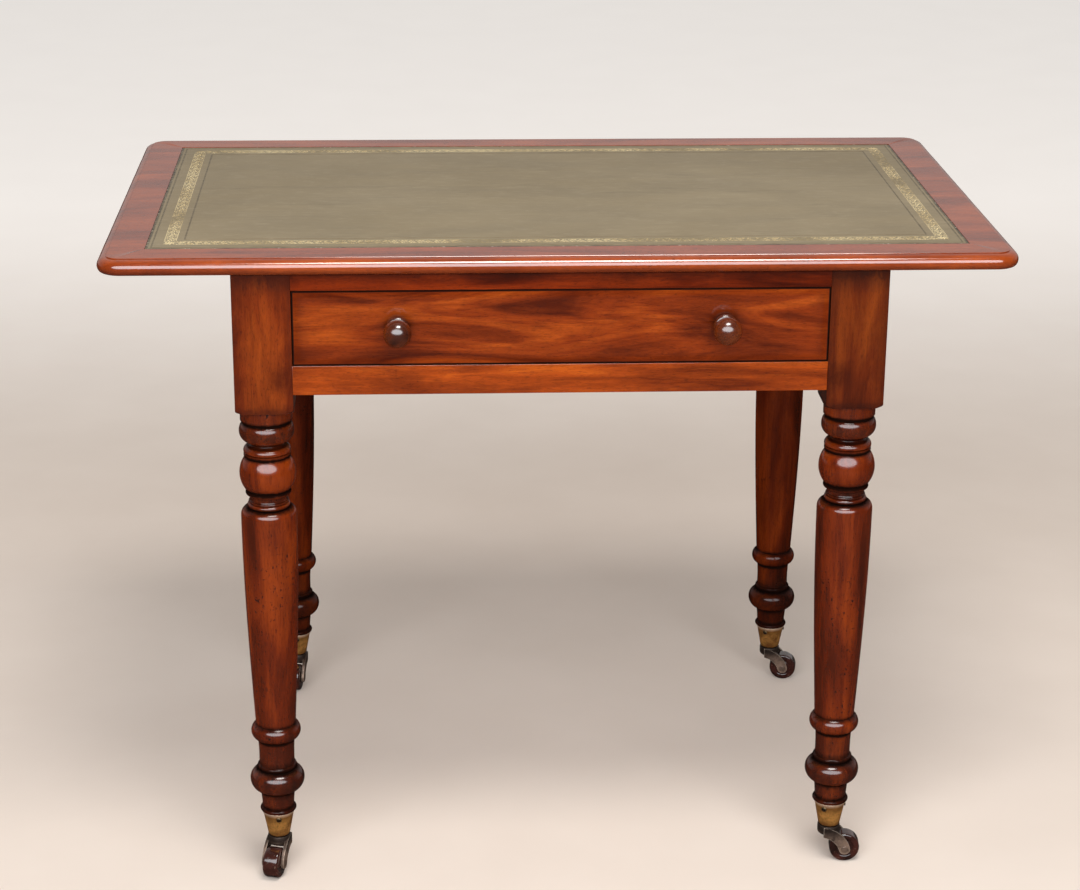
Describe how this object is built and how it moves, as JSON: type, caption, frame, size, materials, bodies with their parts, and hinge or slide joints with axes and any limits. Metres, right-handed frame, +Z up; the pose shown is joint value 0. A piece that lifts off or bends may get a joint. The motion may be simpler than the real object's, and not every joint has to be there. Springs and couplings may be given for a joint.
{
  "type": "writing table",
  "caption": "Mahogany writing table with a tooled leather top, a frieze drawer with turned knobs, turned legs and brass cup castors.",
  "frame": {"origin": "on the floor, midway across the table and midway between the fronts of the drawer knobs and the back edge of the top", "axes": "+X to the right along the length of the top, +Y from the drawer to the back, +Z up"},
  "size_m": [0.965, 0.6014, 0.725],
  "materials": {
    "mahogany": "french polished",
    "dark_mahogany": "french polished",
    "leather": "waxed",
    "oak": "bare",
    "pine": "bare",
    "brass": "satin, tarnished",
    "bronze": "dark patina",
    "steel": "dull",
    "brown_glaze": "glossy"
  },
  "bodies": {
    "table": {"table_top": "mahogany", "leather_writing_surface": "leather", "leg_front_left": "dark_mahogany", "leg_front_right": "dark_mahogany", "leg_back_left": "dark_mahogany", "leg_back_right": "dark_mahogany", "front_top_rail": "mahogany", "front_lower_rail": "mahogany", "back_rail": "mahogany", "side_rail_left": "mahogany", "side_rail_right": "mahogany", "drawer_runner_left": "oak", "drawer_runner_right": "oak", "drawer_guide_left": "oak", "drawer_guide_right": "oak", "drawer_kicker_left": "oak", "drawer_kicker_right": "oak", "drawer_stops": "oak", "glue_blocks": "pine", "top_screws": "steel", "castor_cup_front_left": "brass", "castor_cup_front_right": "brass", "castor_cup_back_left": "brass", "castor_cup_back_right": "brass", "castor_cup_screws_front_left": "bronze", "castor_cup_screws_front_right": "bronze", "castor_cup_screws_back_left": "bronze", "castor_cup_screws_back_right": "bronze"},
    "drawer": {"drawer_front": "mahogany", "drawer_side_left": "oak", "drawer_side_right": "oak", "drawer_back": "oak", "drawer_bottom": "oak", "drawer_slips": "oak", "drawer_bottom_screws": "steel", "drawer_knob_left": "dark_mahogany", "drawer_knob_right": "dark_mahogany"},
    "fork_front_left": {"castor_fork_front_left": "bronze", "castor_swivel_pin_front_left": "steel", "castor_axle_front_left": "steel"},
    "wheel_front_left": {"castor_wheel_front_left": "brown_glaze"},
    "fork_front_right": {"castor_fork_front_right": "bronze", "castor_swivel_pin_front_right": "steel", "castor_axle_front_right": "steel"},
    "wheel_front_right": {"castor_wheel_front_right": "brown_glaze"},
    "fork_back_left": {"castor_fork_back_left": "bronze", "castor_swivel_pin_back_left": "steel", "castor_axle_back_left": "steel"},
    "wheel_back_left": {"castor_wheel_back_left": "brown_glaze"},
    "fork_back_right": {"castor_fork_back_right": "bronze", "castor_swivel_pin_back_right": "steel", "castor_axle_back_right": "steel"},
    "wheel_back_right": {"castor_wheel_back_right": "brown_glaze"}
  },
  "joints": [
    {"name": "drawer_slide", "type": "slide", "parent": "table", "child": "drawer", "axis": [0, -1, 0], "range_m": [0, 0.33]},
    {"name": "swivel_front_left", "type": "hinge", "parent": "table", "child": "fork_front_left", "pos_m": [-0.31325, -0.234, 0.0442], "axis": [0, 0, 1], "continuous": true},
    {"name": "roll_front_left", "type": "hinge", "parent": "fork_front_left", "child": "wheel_front_left", "pos_m": [-0.31866, -0.25169, 0.017], "axis": [0.9563, -0.2924, 0], "continuous": true},
    {"name": "swivel_front_right", "type": "hinge", "parent": "table", "child": "fork_front_right", "pos_m": [0.31325, -0.234, 0.0442], "axis": [0, 0, 1], "continuous": true},
    {"name": "roll_front_right", "type": "hinge", "parent": "fork_front_right", "child": "wheel_front_right", "pos_m": [0.33168, -0.23561, 0.017], "axis": [0.0872, 0.9962, 0], "continuous": true},
    {"name": "swivel_back_left", "type": "hinge", "parent": "table", "child": "fork_back_left", "pos_m": [-0.31325, 0.2635, 0.0442], "axis": [0, 0, 1], "continuous": true},
    {"name": "roll_back_left", "type": "hinge", "parent": "fork_back_left", "child": "wheel_back_left", "pos_m": [-0.31646, 0.24528, 0.017], "axis": [0.9848, -0.1736, 0], "continuous": true},
    {"name": "swivel_back_right", "type": "hinge", "parent": "table", "child": "fork_back_right", "pos_m": [0.31325, 0.2635, 0.0442], "axis": [0, 0, 1], "continuous": true},
    {"name": "roll_back_right", "type": "hinge", "parent": "fork_back_right", "child": "wheel_back_right", "pos_m": [0.33141, 0.25997, 0.017], "axis": [0.1908, 0.9816, 0], "continuous": true}
  ]
}
